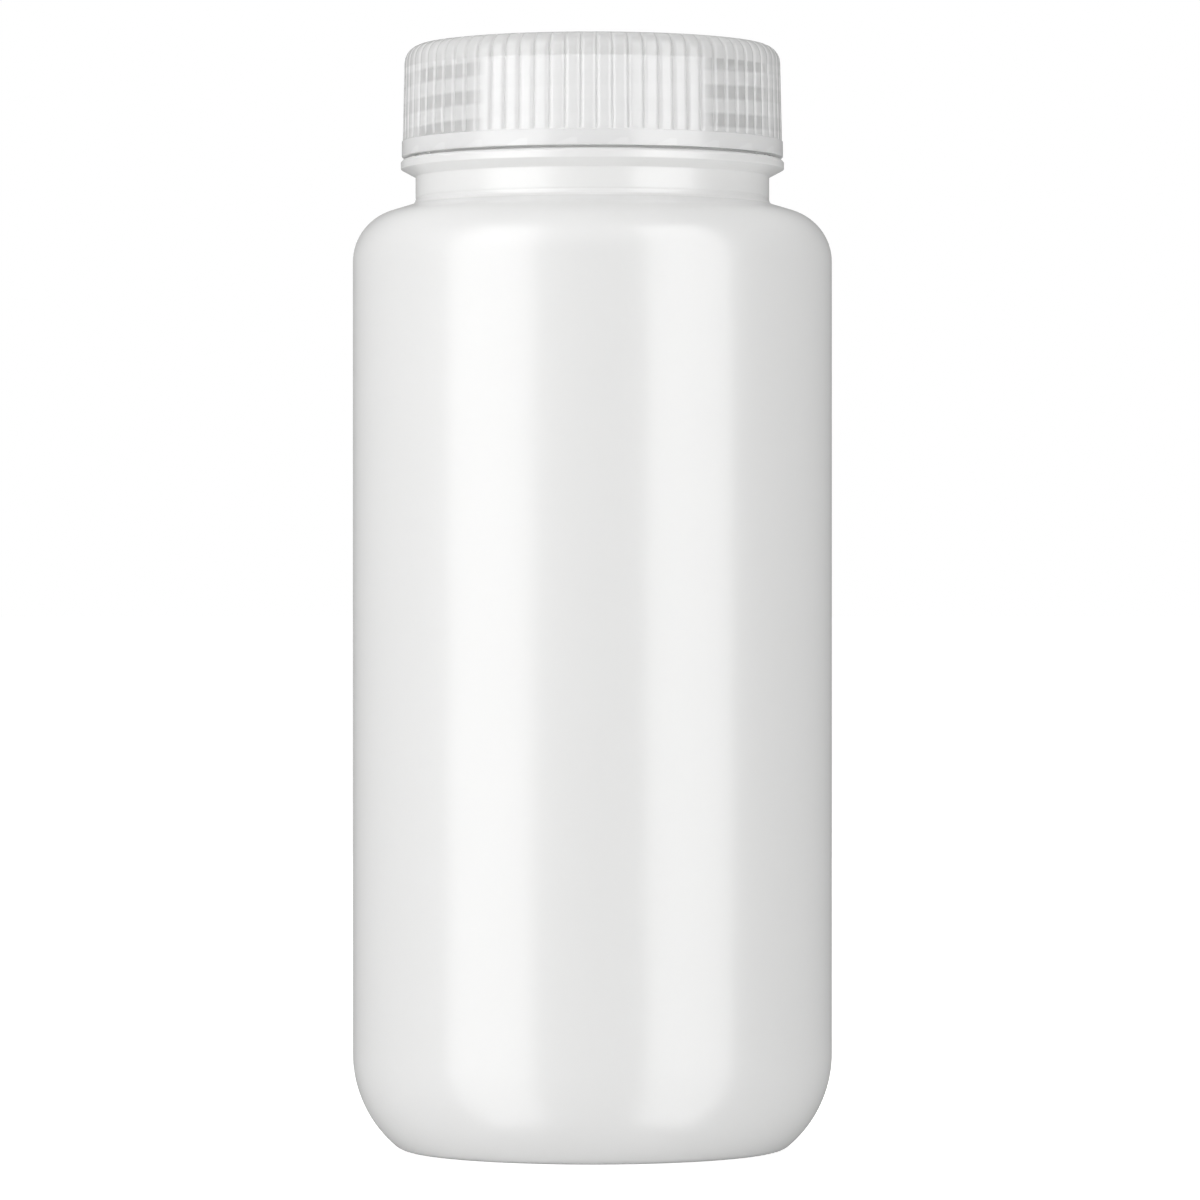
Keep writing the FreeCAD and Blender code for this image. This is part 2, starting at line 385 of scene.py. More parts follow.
def skin_points(sizes, inset):
    """Base, wall and shoulder of the bottle at a distance inside its outside, from the axis up."""
    radius = sizes.diameter / 2
    corner_centre = Vector((radius - sizes.corner_radius, sizes.corner_height))
    rise = sizes.corner_height - sizes.heel_radius
    reach = math.sqrt((sizes.corner_radius - sizes.heel_radius) ** 2 - rise**2)
    corner_start = -math.atan2(rise, reach)
    outer_heel = Vector((corner_centre.x + reach, sizes.heel_radius))
    inner_heel = outer_heel - Vector((sizes.foot_width, 0))
    drop = sizes.heel_radius - sizes.push_up
    dome = (inner_heel.x**2 + drop**2 - sizes.heel_radius**2) / (2 * sizes.push_up)
    dome_centre = Vector((0, sizes.push_up - dome))
    dome_end = math.atan2(inner_heel.y - dome_centre.y, inner_heel.x)
    shoulder = Vector((radius - sizes.shoulder_radius, shoulder_height(sizes)))
    heel = sizes.heel_radius - inset
    points = [Vector((0, sizes.push_up + inset))]
    up, down = math.pi / 2, 1.5 * math.pi
    dome_step, heel_step, corner_step, shoulder_step = map(math.radians, (0.8, 10, 2.5, 5))
    points += arc_points(dome_centre, dome + inset, up, dome_end, dome_step)
    points += arc_points(inner_heel, heel, dome_end + math.pi, down, heel_step)
    points += along(points[-1], Vector((outer_heel.x, inset)), 0)
    points += arc_points(outer_heel, heel, down, TURN + corner_start, heel_step)
    corner_radius = sizes.corner_radius - inset
    points += arc_points(corner_centre, corner_radius, corner_start, 0, corner_step)
    points += along(points[-1], Vector((radius - inset, shoulder.y)), WALL_ROWS)
    shoulder_radius = sizes.shoulder_radius - inset
    points += arc_points(shoulder, shoulder_radius, 0, up - sizes.shoulder_slope, shoulder_step)
    return points


def shoulder_height(sizes):
    """Height of the centre of the shoulder's rounding."""
    slope = sizes.shoulder_slope
    run = (sizes.diameter - sizes.neck_diameter) / 2 - sizes.shoulder_radius * (1 - math.sin(slope))
    return sizes.shoulder_top - run * math.tan(slope) - sizes.shoulder_radius * math.cos(slope)


def root_points(start, radius, rounding, slope):
    """The slope from the shoulder to the neck's wall and the rounding between them."""
    sideways = (radius + rounding - start.x) * math.sin(slope)
    centre = Vector((radius + rounding, start.y + (rounding - sideways) / math.cos(slope)))
    first = 1.5 * math.pi - slope
    foot = centre + Vector((math.cos(first), math.sin(first))) * rounding
    root = arc_points(centre, rounding, first, math.pi, math.radians(12))
    return along(start, foot, SLOPE_ROWS) + root


def bottle_outline(sizes):
    """The bottle's section: up its outside, over the rim and down its inside."""
    neck = sizes.neck_diameter / 2
    flange = sizes.flange_diameter / 2
    finish = sizes.finish_diameter / 2
    bore = sizes.bore / 2
    inner_neck = neck - sizes.neck_wall
    outside = skin_points(sizes, 0)
    outside += root_points(outside[-1], neck, sizes.neck_root, sizes.shoulder_slope)
    inside = skin_points(sizes, sizes.wall)
    inside += root_points(inside[-1], inner_neck, sizes.neck_root + sizes.wall, sizes.shoulder_slope)
    edge_top = sizes.flange_top - sizes.flange_chamfer
    edge_bottom = edge_top - sizes.flange_edge
    under = edge_bottom - (flange - neck) * math.tan(sizes.flange_slope)
    foot = outside[-1].y
    finish_corners = [
        Corner(neck, foot),
        Corner(neck - sizes.neck_line, foot + sizes.neck_line_width / 2),
        Corner(neck, foot + sizes.neck_line_width),
        Corner(neck, under, 0.25 * MM),
        Corner(flange, edge_bottom, 0.18 * MM),
        Corner(flange, edge_top, 0.15 * MM),
        Corner(flange - sizes.flange_chamfer, sizes.flange_top, 0.2 * MM),
        Corner(finish, sizes.flange_top, 0.5 * MM),
        Corner(finish, sizes.height, 0.5 * MM, "thread", 0.22 * MM),
        Corner(bore, sizes.height, 0.5 * MM),
        Corner(bore, sizes.flange_top, 3 * MM, "plain", 1.5 * MM),
        Corner(inner_neck, under, 3 * MM, "plain", 0.6 * MM),
        Corner(inner_neck, inside[-1].y, 0, "plain", 0.6 * MM),
    ]
    points = [Point(p.x, p.y) for p in outside]
    points += outline(finish_corners)[1:]
    points += [Point(p.x, p.y) for p in reversed(inside[:-1])]
    return points


def cap_outline(sizes, thread):
    """The cap's section: out under its top, down its inside, round the band and up its outside."""
    inner = thread.crest_diameter / 2 + thread.clearance
    band = sizes.band_diameter / 2
    bore = band - sizes.band_wall
    side = band - sizes.band_step
    band_top = sizes.bottom + sizes.band_height
    lug_foot = sizes.bottom + 0.25 * MM
    panel = sizes.top - sizes.top_thickness
    top_side = side - (sizes.top - band_top) * math.tan(sizes.draft)
    inside = [
        Corner(0, panel),
        Corner(inner, panel, 0.8 * MM, "plain", DISC_ROWS),
        Corner(inner, band_top + bore - inner, 0.3 * MM, "thread", 0.24 * MM),
        Corner(bore, band_top, 0.3 * MM),
        Corner(bore, lug_foot, 0, "lug", 0.14 * MM),
    ]
    outside = [
        Corner(bore, lug_foot),
        Corner(bore, sizes.bottom, 0.15 * MM),
        Corner(band, sizes.bottom, 0.2 * MM),
        Corner(band, band_top, 0.1 * MM),
        Corner(side, band_top, 0.04 * MM),
        Corner(top_side, sizes.top, sizes.top_radius, "groove", 1.5 * MM),
        Corner(0, sizes.top, 0, "plain", DISC_ROWS),
    ]
    return [p._replace(outside=0.0) for p in outline(inside)] + outline(outside)[1:]


def liner_outline(sizes):
    """The liner's section, with soft cut edges."""
    corners = [
        Corner(0, sizes.bottom),
        Corner(sizes.radius, sizes.bottom, sizes.edge, "plain", DISC_ROWS),
        Corner(sizes.radius, sizes.top, sizes.edge),
        Corner(0, sizes.top, 0, "plain", DISC_ROWS),
    ]
    return outline(corners)


def section_mesh(name, points):
    """The outline as a string of points in the XZ plane, with its zones and the way it faces."""
    mesh = bpy.data.meshes.new(name)
    links = [(i, i + 1) for i in range(len(points) - 1)]
    mesh.from_pydata([(p.r, 0, p.z) for p in points], links, [])
    for zone in ("thread", "groove", "lug"):
        layer = mesh.attributes.new(zone, "FLOAT", "POINT")
        strengths = [p.strength if p.zone == zone else 0.0 for p in points]
        layer.data.foreach_set("value", strengths)
    outer = mesh.attributes.new("outside", "FLOAT", "POINT")
    outer.data.foreach_set("value", [p.outside for p in points])
    facing = mesh.attributes.new("facing", "FLOAT_VECTOR", "POINT")
    last = len(points) - 1
    for i in range(len(points)):
        a, b = points[max(i - 1, 0)], points[min(i + 1, last)]
        run = Vector((b.r - a.r, b.z - a.z)).normalized()
        facing.data[i].vector = (run.y, 0, -run.x)
    return mesh


COUNT_INPUTS = ("Segments", "Grooves", "Lugs")
NUMBER_INPUTS = (
    "First Groove",
    "Groove Depth",
    "Groove Width",
    "Groove Gather",
    "Pitch",
    "Ridge Depth",
    "Ridge Root Width",
    "Ridge Crest Width",
    "Ridge Start Height",
    "Ridge Start Angle",
    "Ridge Turns",
    "Ridge Fade",
    "Lug Width",
    "Lug Base",
    "Lug Height",
    "Lug Low End",
    "Lug Depth",
)


def helix_ridge(net, get, turned, height):
    """Height of the screw ridge above the wall, at an angle and a height."""
    climb = (turned - get["Ridge Start Angle"]) / TURN
    above = (height - get["Ridge Start Height"]) / get["Pitch"] - climb
    lap = net.math("ROUND", above)
    aside = abs(above - lap) * get["Pitch"]
    half_root = get["Ridge Root Width"] / 2
    flank = half_root - get["Ridge Crest Width"] / 2
    profile = ((half_root - aside) / flank).smooth()
    gone = (climb + lap) * TURN
    left = get["Ridge Turns"] * TURN - gone
    ends = (gone / get["Ridge Fade"]).smooth() * (left / get["Ridge Fade"]).smooth()
    return profile * ends * get["Ridge Depth"]


def rib_grooves(net, get, turned, radius, strength):
    """Depth of the narrow grooves between the ribs."""
    place = (turned - get["First Groove"]) * get["Grooves"] / TURN
    count = net.math("MAXIMUM", get["Grooves"], 1)
    aside = abs(place - net.math("ROUND", place)) * TURN * radius / count
    slope = get["Groove Depth"] / (get["Groove Width"] / 2)
    return net.math("MAXIMUM", strength * get["Groove Depth"] - aside * slope, 0)


def ramp_lugs(net, get, turned, radius, height):
    """Lugs inside the band: low at one end, and at full height from two thirds of their width."""
    place = turned * get["Lugs"] / TURN
    within = place - net.math("FLOOR", place) - 0.5
    count = net.math("MAXIMUM", get["Lugs"], 1)
    across = within * TURN * radius / count
    steepness = 1.5
    climb = ((across / get["Lug Width"] + 0.5) * steepness).clipped()
    top = get["Lug Low End"] + (get["Lug Height"] - get["Lug Low End"]) * climb
    edge = 0.2 * MM
    below_top = ((get["Lug Base"] + top - height) / edge + 0.5).clipped()
    after_start = ((across + get["Lug Width"] / 2) / edge + 0.5).clipped()
    before_end = ((get["Lug Width"] / 2 - across) / edge + 0.5).clipped()
    return below_top * after_start * before_end * get["Lug Depth"]


def lug_inputs(sizes, depth):
    """The lugs' inputs of the shell tree, for lugs of this depth."""
    return {
        "Lugs": sizes.lugs,
        "Lug Width": sizes.lug_width,
        "Lug Base": sizes.bottom,
        "Lug Height": sizes.lug_height,
        "Lug Low End": sizes.lug_low,
        "Lug Depth": depth,
    }


def shell_tree():
    """Geometry nodes that turn a section into a closed shell and raise its thread, grooves and lugs."""
    tree = bpy.data.node_groups.new("turned_shell", "GeometryNodeTree")
    kinds = {"Section": "Geometry", "Material": "Material"}
    kinds |= dict.fromkeys(COUNT_INPUTS, "Int") | dict.fromkeys(NUMBER_INPUTS, "Float")
    for name, kind in kinds.items():
        tree.interface.new_socket(name, in_out="INPUT", socket_type="NodeSocket" + kind)
    tree.interface.new_socket("Shell", in_out="OUTPUT", socket_type="NodeSocketGeometry")
    net = Net(tree)
    entry = net.add("NodeGroupInput")
    get = {name: Value(net, entry.outputs[name]) for name in kinds}
    section = get["Section"]

    rows = net.get("GeometryNodeAttributeDomainSize", {}, {"Geometry": section}, "Point Count")
    grid = net.add("GeometryNodeMeshGrid", {}, {"Vertices X": get["Segments"] + 1, "Vertices Y": rows})
    index = net.get("GeometryNodeInputIndex")
    step = net.math("FLOOR", (index + 0.5) / rows)
    row = index - step * rows

    def sample(data_type, value):
        """A value of the section at this vertex's row."""
        values = {"Geometry": section, "Value": value, "Index": row}
        return net.get("GeometryNodeSampleIndex", {"data_type": data_type, "clamp": True}, values)

    def named(attribute, data_type="FLOAT"):
        """A named attribute of the section at this vertex's row."""
        kind = {"data_type": data_type}
        field = net.get("GeometryNodeInputNamedAttribute", kind, {"Name": attribute})
        return sample(data_type, field)

    def out_and_up(vector):
        """How far a vector of the section goes out from the axis, and how far up."""
        parts = net.add("ShaderNodeSeparateXYZ", {}, {0: vector})
        return Value(net, parts.outputs["X"]), Value(net, parts.outputs["Z"])

    radius, height = out_and_up(sample("FLOAT_VECTOR", net.get("GeometryNodeInputPosition")))
    facing_out, facing_up = out_and_up(named("facing", "FLOAT_VECTOR"))

    # Columns of the mesh gather at the grooves
    even = step / get["Segments"] * TURN
    ribs = net.math("MAXIMUM", get["Grooves"], 1)
    turned = even - get["Groove Gather"] / ribs * net.math("SINE", even * ribs) + get["First Groove"]
    raised = (
        named("thread") * helix_ridge(net, get, turned, height)
        + named("lug") * ramp_lugs(net, get, turned, radius, height)
        - rib_grooves(net, get, turned, radius, named("groove"))
    )
    out = radius + facing_out * raised
    up = height + facing_up * raised
    x, y = out * net.math("COSINE", turned), out * net.math("SINE", turned)
    spot = net.get("ShaderNodeCombineXYZ", {}, {"X": x, "Y": y, "Z": up})
    placed = {"Geometry": grid.outputs["Mesh"], "Position": spot}
    moved = net.get("GeometryNodeSetPosition", {}, placed)
    kind = {"data_type": "FLOAT", "domain": "POINT"}
    values = {"Geometry": moved, "Name": "outside", "Value": named("outside")}
    marked = net.get("GeometryNodeStoreNamedAttribute", kind, values)
    closed = net.get("GeometryNodeMergeByDistance", {}, {"Geometry": marked, "Distance": WELD})
    smooth = net.get("GeometryNodeSetShadeSmooth", {}, {"Geometry": closed, "Shade Smooth": True})
    real = net.get("GeometryNodeRealizeInstances", {}, {"Geometry": smooth})
    dressed = net.get("GeometryNodeSetMaterial", {}, {"Geometry": real, "Material": get["Material"]})
    net.add("NodeGroupOutput", {}, {"Shell": dressed})
    return tree


def shell_piece(name, points, inputs):
    """A plain mesh object turned from a section by the shell tree."""
    source = bpy.data.objects.new(name + "_section", section_mesh(name + "_section", points))
    bpy.context.scene.collection.objects.link(source)
    tree = bpy.data.node_groups.get("turned_shell") or shell_tree()
    modifier = source.modifiers.new("shell", "NODES")
    modifier.node_group = tree
    for item in tree.interface.items_tree:
        if item.name in inputs:
            modifier[item.identifier] = inputs[item.name]
    bpy.context.view_layer.update()
    depsgraph = bpy.context.evaluated_depsgraph_get()
    mesh = bpy.data.meshes.new_from_object(source.evaluated_get(depsgraph))
    mesh.name = name
    bpy.data.objects.remove(source)
    piece = bpy.data.objects.new(name, mesh)
    bpy.context.scene.collection.objects.link(piece)
    return piece


WHITE = (1, 1, 1, 1)
CLOUD_DETAIL = 3
GRAIN_DETAIL = 2


def new_material(name):
    """An empty material and its net."""
    material = bpy.data.materials.new(name)
    material.use_nodes = True
    material.node_tree.nodes.clear()
    return material, Net(material.node_tree)


def mixed(net, factor, first, second):
    """Two shaders mixed: the first where the factor is 0 and the second where it is 1."""
    values = {0: factor, 1: first.outputs[0], 2: second.outputs[0]}
    return net.add("ShaderNodeMixShader", {}, values)


def mixed_tone(net, factor, first, second):
    """Two colours mixed in the same way as the shaders."""
    return net.get("ShaderNodeMix", {"data_type": "RGBA"}, {0: factor, 6: first, 7: second}, 2)


def show(net, shader):
    """Makes a shader the material's surface."""
    net.add("ShaderNodeOutputMaterial", {}, {"Surface": shader.outputs[0]})


def opaque(tone):
    """A colour with nothing see-through in it."""
    return (*tone, 1)


def grain_bump(net, strength, depth, grain):
    """A normal roughened by a fine grain."""
    values = {"Strength": strength, "Distance": depth, "Height": grain}
    return net.get("ShaderNodeBump", {}, values, "Normal")


def own_axes(net):
    """The coordinates along the object's own axes."""
    place = net.get("ShaderNodeTexCoord", output="Object")
    parts = net.add("ShaderNodeSeparateXYZ", {}, {0: place})
    return [Value(net, parts.outputs[axis]) for axis in "XYZ"]


def noise(net, scale, detail, stretch=(1, 1, 1)):
    """Noise from 0 to 1 over the object's own coordinates, stretched along its axes."""
    place = net.get("ShaderNodeTexCoord", output="Object")
    mapped = net.get("ShaderNodeMapping", {}, {"Vector": place, "Scale": stretch})
    return net.get("ShaderNodeTexNoise", {}, {"Vector": mapped, "Scale": scale, "Detail": detail})


def cloudy_tone(net, tone, scale, stretch=(1, 1, 1)):
    """A colour with faint soft clouds, which come from the uneven thickness of the wall."""
    darkest, lightest = 0.985, 1.01
    low = opaque(c * darkest for c in tone)
    high = opaque(min(c * lightest, 1) for c in tone)
    return mixed_tone(net, noise(net, scale, CLOUD_DETAIL, stretch), low, high)


def bottle_plastic(finish):
    """Milky blown plastic: satin, with soft upright clouds from the wall's uneven thickness."""
    material, net = new_material("milky_plastic")
    cloud_scale, upright = 22, (1, 1, 0.35)
    clouds = noise(net, cloud_scale, CLOUD_DETAIL, upright)
    grain = noise(net, 900, GRAIN_DETAIL)
    smoothest = finish.bottle_roughness - 0.03
    cloud_spread, grain_spread = 0.04, 0.02
    values = {
        "Base Color": cloudy_tone(net, finish.bottle, cloud_scale, upright),
        "Roughness": smoothest + cloud_spread * clouds + grain_spread * grain,
        "Normal": grain_bump(net, 0.05, 0.05 * MM, grain),
        "Specular IOR Level": finish.bottle_shine,
        "IOR": finish.bottle_index,
        "Subsurface Weight": finish.bottle_depth,
        "Subsurface Radius": (1, 1, 1),
        "Subsurface Scale": finish.depth_reach,
    }
    show(net, net.add("ShaderNodeBsdfPrincipled", {}, values))
    return material


def cap_ridge_start(thread):
    """Height where the cap's own ridge starts: it lies just under the bottle's thread."""
    return thread.start_height - thread.root_width / 2 - thread.cap_root_width / 2 + thread.pitch


def glancing(net, x, y, start, end):
    """One where the round wall is seen at a glancing angle.

    It is less on rib flanks that face the viewer, and at the very edge, where the wall is
    seen through a long path.
    """
    outward = net.get("ShaderNodeCombineXYZ", {}, {"X": x, "Y": y})
    spaces = {"vector_type": "NORMAL", "convert_from": "OBJECT", "convert_to": "WORLD"}
    outward = net.get("ShaderNodeVectorTransform", spaces, {"Vector": outward})
    outward = net.get("ShaderNodeVectorMath", {"operation": "NORMALIZE"}, {0: outward})
    wall = net.get("ShaderNodeLayerWeight", {}, {"Blend": 0.5, "Normal": outward}, "Facing")
    flank = net.get("ShaderNodeLayerWeight", {}, {"Blend": 0.5}, "Facing")
    flank_start, flank_share, edge_share = start * 0.6, 0.45, 0.6
    wall_blur, flank_blur, edge_blur = 0.1, 0.12, 0.15
    begun = ((wall - start) / wall_blur).smooth()
    turned_away = ((flank - flank_start) / flank_blur).smooth()
    at_edge = ((wall - end) / edge_blur).smooth()
    return begun * (1 - flank_share + flank_share * turned_away) * (1 - edge_share * at_edge)


def ridge_map(net, thread, turned, height):
    """One over the helical ridge inside the cap and nought between its turns."""
    climb = (height - cap_ridge_start(thread)) / thread.pitch - (turned - thread.start_angle) / TURN
    off_ridge = net.math("PINGPONG", climb, 0.5) * thread.pitch
    half_width, blur = thread.cap_root_width * 0.72, 0.6 * MM
    return 1.0 - ((off_ridge - half_width + blur / 2) / blur).smooth()


def cap_clearness(net, finish, thread, sizes, x, y, height, top):
    """How much of the cap's plastic is clear rather than milky, over its outside."""
    side = glancing(net, x, y, finish.cap_glance, finish.cap_edge)
    thin = finish.cap_front + side * (finish.cap_side - finish.cap_front)
    thick = finish.cap_thick + side * (finish.cap_thick_side - finish.cap_thick)
    turned = net.math("ARCTAN2", y, x)
    clearness = thin + ridge_map(net, thread, turned, height) * (thick - thin)
    clearness += top * (finish.cap_top - clearness)
    band_top = sizes.bottom + sizes.band_height
    bore = sizes.band_diameter / 2 - sizes.band_wall
    lugs = ramp_lugs(net, lug_inputs(sizes, 1), turned, bore, height)
    band = finish.cap_band + lugs * (finish.cap_lug - finish.cap_band)
    blur = 0.1 * MM
    return clearness + ((band_top - height) / blur).smooth() * (band - clearness)


def cap_plastic(finish, thread, sizes):
    """Clear moulded plastic with a milky outside.

    Seen square on, it is milky nearly all over. At glancing angles the thin wall between the
    turns of the ridge looks glassy, and the ridge, the top and the band stay milkier.
    """
    material, net = new_material("translucent_cap_plastic")
    x, y, height = own_axes(net)
    corner, blur = sizes.top - sizes.top_thickness - 1.6 * MM, 0.4 * MM
    top = ((height - corner) / blur).smooth()
    clear_values = {
        "Base Color": WHITE,
        "Roughness": finish.cap_haze,
        "IOR": finish.cap_index,
        "Transmission Weight": 1,
    }
    clear = net.add("ShaderNodeBsdfPrincipled", {}, clear_values)
    glassy = mixed(net, finish.cap_passing, clear, net.add("ShaderNodeBsdfTransparent"))
    grain = noise(net, 1100, GRAIN_DETAIL)
    smoothest, grain_spread = finish.cap_roughness - 0.03, 0.04
    side_tone = cloudy_tone(net, finish.cap, 60)
    milk_values = {
        # Painted shade: over the top and its rounded corner, the milk turns to the darker top colour
        "Base Color": mixed_tone(net, top, side_tone, opaque(finish.cap_top_painted_shade)),
        "Roughness": smoothest + grain_spread * grain,
        "Normal": grain_bump(net, 0.04, 0.05 * MM, grain),
        "Specular IOR Level": finish.cap_shine,
        "IOR": finish.cap_index,
        "Subsurface Weight": finish.cap_depth,
        "Subsurface Radius": (1, 1, 1),
        "Subsurface Scale": finish.depth_reach,
    }
    milk = net.add("ShaderNodeBsdfPrincipled", {}, milk_values)
    glow = net.add("ShaderNodeBsdfTranslucent", {}, {"Color": opaque(finish.cap)})
    milky = mixed(net, finish.cap_glow, milk, glow)
    outside = net.get("ShaderNodeAttribute", {"attribute_name": "outside"}, {}, "Fac")
    clearness = cap_clearness(net, finish, thread, sizes, x, y, height, top)
    show(net, mixed(net, outside * (1.0 - clearness), glassy, milky))
    return material


def liner_foam(finish):
    """Matt foamed plastic with fine cells."""
    material, net = new_material("foamed_liner_plastic")
    place = net.get("ShaderNodeTexCoord", output="Object")
    cells = net.get("ShaderNodeTexVoronoi", {}, {"Vector": place, "Scale": 1400.0}, "Distance")
    values = {
        "Base Color": opaque(finish.liner),
        "Roughness": 0.6 + 0.2 * cells,
        "Normal": grain_bump(net, 0.3, 0.1 * MM, cells),
    }
    show(net, net.add("ShaderNodeBsdfPrincipled", {}, values))
    return material


def shell_inputs(material, segments, **others):
    """Values for every input of the shell tree, with no thread, grooves or lugs unless given."""
    values = dict.fromkeys(COUNT_INPUTS, 0) | dict.fromkeys(NUMBER_INPUTS, 0.0)
    divisors = ("Pitch", "Ridge Root Width", "Ridge Fade", "Groove Width", "Lug Width")
    values.update(dict.fromkeys(divisors, 1.0))
    values.update({"Segments": segments, "Material": material})
    values.update({name.replace("_", " ").title(): value for name, value in others.items()})
    return values


class BOTTLE_OT_shell(Operator):
    """Makes the blown bottle with its threaded neck"""

    bl_idname = "bottle.make_shell"
    bl_label = "Make the bottle"

    def execute(self, context):
        sizes, thread = context.scene.bottle_sizes, context.scene.bottle_thread
        values = shell_inputs(
            bottle_plastic(context.scene.bottle_finishes),
            sizes.segments,
            pitch=thread.pitch,
            ridge_depth=(thread.crest_diameter - sizes.finish_diameter) / 2,
            ridge_root_width=thread.root_width,
            ridge_crest_width=thread.crest_width,
            ridge_start_height=thread.start_height,
            ridge_start_angle=thread.start_angle,
            ridge_turns=thread.turns,
            ridge_fade=thread.fade,
        )
        piece = shell_piece("bottle_shell", bottle_outline(sizes), values)
        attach(piece, "bottle_body")
        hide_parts("bottle")
        return {"FINISHED"}


class BOTTLE_OT_cap(Operator):
    """Makes the ribbed screw cap with its band and lugs"""

    bl_idname = "bottle.make_cap"
    bl_label = "Make the screw cap"

    def execute(self, context):
        sizes, thread = context.scene.bottle_cap, context.scene.bottle_thread
        values = shell_inputs(
            cap_plastic(context.scene.bottle_finishes, thread, sizes),
            sizes.ribs * sizes.steps_per_rib,
            grooves=sizes.ribs,
            first_groove=sizes.first_groove,
            groove_depth=sizes.groove_depth,
            groove_width=sizes.groove_width,
            groove_gather=sizes.groove_gather,
            pitch=thread.pitch,
            ridge_depth=thread.cap_depth,
            ridge_root_width=thread.cap_root_width,
            ridge_crest_width=thread.cap_crest_width,
            ridge_start_height=cap_ridge_start(thread),
            ridge_start_angle=thread.start_angle,
            ridge_turns=thread.cap_turns,
            ridge_fade=thread.fade,
        )
        values |= lug_inputs(sizes, sizes.lug_depth)
        piece = shell_piece("cap_shell", cap_outline(sizes, thread), values)
        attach(piece, "cap_body")
        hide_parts("screw_cap")
        return {"FINISHED"}


class BOTTLE_OT_liner(Operator):
    """Makes the foamed liner under the cap's top"""

    bl_idname = "bottle.make_liner"
    bl_label = "Make the liner"

    def execute(self, context):
        sizes = context.scene.bottle_liner
        values = shell_inputs(liner_foam(context.scene.bottle_finishes), sizes.segments)
        piece = shell_piece("liner_disc", liner_outline(sizes), values)
        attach(piece, "liner_body")
        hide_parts("cap_liner")
        return {"FINISHED"}


def softbox(name, distance, azimuth, elevation, wide, tall, brightness):
    """A soft lamp that faces the middle of the floor, where the bottle stands."""
    lamp = bpy.data.lights.new(name, "AREA")
    lamp.shape = "RECTANGLE"
    lamp.size = 2 * distance * math.tan(wide / 2)
    lamp.size_y = 2 * tall
    lamp.energy = brightness * math.pi * lamp.size * lamp.size_y
    holder = bpy.data.objects.new(name, lamp)
    level, height = distance * math.cos(elevation), distance * math.sin(elevation)
    holder.location = (level * math.sin(azimuth), -level * math.cos(azimuth), height)
    holder.rotation_euler = (math.pi / 2 - elevation, 0, azimuth)
    bpy.context.scene.collection.objects.link(holder)
    return holder


def lit_and_mirrored(name, look, azimuth, wide, tall, brightness, outset):
    """A softbox that lights the plastics, and in front of it a taller, narrower one that they mirror."""
    light = softbox(name, look.lamp_distance, azimuth, 0, wide, tall, brightness)
    light.visible_glossy = False
    gap = 20 * MM
    nearer = look.lamp_distance - gap
    dimmed = brightness * look.mirrored_share
    middle = azimuth + math.copysign(1, azimuth) * (look.mirrored_inset - outset) / 2
    narrower = wide - look.mirrored_inset - outset
    mirrored = softbox(name + "_mirrored", nearer, middle, 0, narrower, look.mirrored_tall, dimmed)
    mirrored.visible_diffuse = False
    mirrored.visible_transmission = False


def soft_fill(name, look, elevation, brightness):
    """A weak lamp behind or above the bottle, which the plastics don't mirror."""
    size = (look.weak_wide, look.weak_tall)
    light = softbox(name, look.lamp_distance, math.pi, elevation, *size, brightness)
    light.visible_glossy = False


def rays(net, *kinds):
    """One for rays of these kinds."""
    path = net.add("ShaderNodeLightPath")
    return sum(Value(net, path.outputs[f"Is {kind} Ray"]) for kind in kinds).clipped()


def studio_world(look):
    """An even light from all round: white where the camera sees it, and overhead in reflections."""
    level, horizon = look.fill, look.mirrored
    world = bpy.data.worlds.new("studio")
    world.use_nodes = True
    world.node_tree.nodes.clear()
    net = Net(world.node_tree)
    direction = net.get("ShaderNodeTexCoord", output="Generated")
    height = Value(net, net.add("ShaderNodeSeparateXYZ", {}, {0: direction}).outputs["Z"])
    sky_start, sky_blend = 0.15, 0.6
    sky = horizon + (1 - horizon) * ((height - sky_start) / sky_blend).smooth()
    seen = rays(net, "Camera", "Transmission")
    strength = level + (1 - level) * seen + (sky - level) * rays(net, "Glossy")
    glow = net.add("ShaderNodeBackground", {}, {"Color": WHITE, "Strength": strength})
    net.add("ShaderNodeOutputWorld", {}, {"Surface": glow.outputs[0]})
    bpy.context.scene.world = world


def studio_floor(look):
    """A pale floor, white to the camera but for the soft shadow that it keeps, and clear from below."""
    reach = 30.0
    mesh = bpy.data.meshes.new("floor")
    corners = [(-reach, -reach, 0), (reach, -reach, 0), (reach, reach, 0), (-reach, reach, 0)]
    mesh.from_pydata(corners, [], [(0, 1, 2, 3)])
    floor = bpy.data.objects.new("floor", mesh)
    floor.visible_glossy = False
    bpy.context.scene.collection.objects.link(floor)
    material, net = new_material("pale_floor")
    matt = net.add("ShaderNodeBsdfDiffuse", {}, {"Color": opaque(look.floor)})
    seen = rays(net, "Camera", "Transmission")
    strength = seen * look.floor_glow + rays(net, "Diffuse") * look.floor_bounce
    glow = net.add("ShaderNodeEmission", {}, {"Color": WHITE, "Strength": strength})
    both = net.add("ShaderNodeAddShader", {}, {0: matt.outputs[0], 1: glow.outputs[0]})
    below = net.get("ShaderNodeNewGeometry", output="Backfacing")
    show(net, mixed(net, below, both, net.add("ShaderNodeBsdfTransparent")))
    mesh.materials.append(material)


def studio_camera(look):
    """A level long lens, at the height and distance that the photograph shows."""
    camera = bpy.data.cameras.new("camera")
    camera.sensor_width = 36.0
    camera.lens = camera.sensor_width * look.distance / look.view_width
    camera.clip_end = 100.0
    holder = bpy.data.objects.new("camera", camera)
    holder.location = (look.shift, -look.distance, look.eye)
    holder.rotation_euler = (math.pi / 2, 0, 0)
    bpy.context.scene.collection.objects.link(holder)
    bpy.context.scene.camera = holder


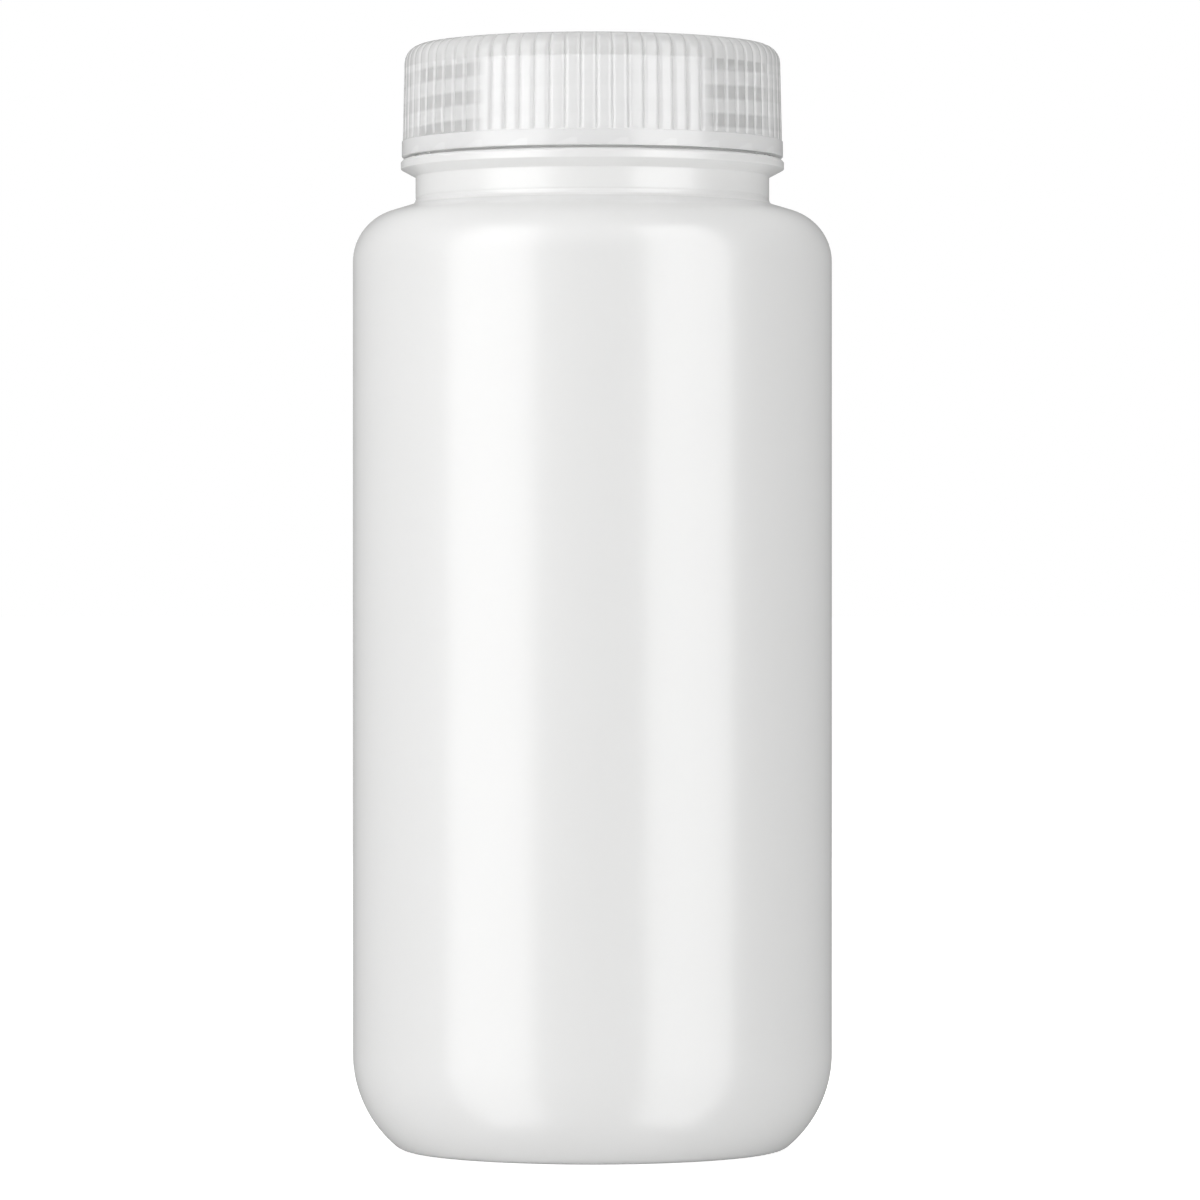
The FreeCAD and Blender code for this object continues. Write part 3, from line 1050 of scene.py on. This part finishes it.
class BOTTLE_OT_stage(Operator):
    """Sets the floor, the lamps and the camera"""

    bl_idname = "bottle.set_stage"
    bl_label = "Set the stage"

    def execute(self, context):
        look = context.scene.bottle_studio
        context.scene.view_settings.view_transform = "Standard"
        studio_world(look)
        studio_floor(look)
        left = (-look.left_azimuth, look.left_wide, look.left_tall, look.left, look.left_outset)
        right = (look.right_azimuth, look.right_wide, look.right_tall, look.right, look.right_outset)
        lit_and_mirrored("left_softbox", look, *left)
        lit_and_mirrored("right_softbox", look, *right)
        soft_fill("back_softbox", look, look.back_raise, look.back)
        soft_fill("top_softbox", look, math.pi / 2, look.overhead)
        studio_camera(look)
        return {"FINISHED"}


class BOTTLE_PT_panel(Panel):
    """The bottle's steps in the sidebar"""

    bl_idname = "BOTTLE_PT_panel"
    bl_label = "Wide-mouth bottle"
    bl_space_type = "VIEW_3D"
    bl_region_type = "UI"
    bl_category = "Bottle"

    def draw(self, context):
        for step in STEPS:
            self.layout.operator(step.bl_idname)


STEPS = (BOTTLE_OT_shell, BOTTLE_OT_cap, BOTTLE_OT_liner, BOTTLE_OT_stage)
GROUPS = {
    "bottle_sizes": BottleSizes,
    "bottle_thread": ThreadSizes,
    "bottle_cap": CapSizes,
    "bottle_liner": LinerSizes,
    "bottle_finishes": Finishes,
    "bottle_studio": StudioLook,
}


def register():
    """Adds the classes and the settings to Blender."""
    for cls in (*GROUPS.values(), *STEPS, BOTTLE_PT_panel):
        bpy.utils.register_class(cls)
    for name, group in GROUPS.items():
        setattr(bpy.types.Scene, name, PointerProperty(type=group))


def unregister():
    """Takes them out again."""
    for name in GROUPS:
        delattr(bpy.types.Scene, name)
    for cls in (BOTTLE_PT_panel, *reversed(STEPS), *reversed(GROUPS.values())):
        bpy.utils.unregister_class(cls)


def main():
    """Makes every piece and the stage."""
    register()
    bpy.ops.bottle.make_shell()
    bpy.ops.bottle.make_cap()
    bpy.ops.bottle.make_liner()
    bpy.ops.bottle.set_stage()


if __name__ == "__main__":
    main()
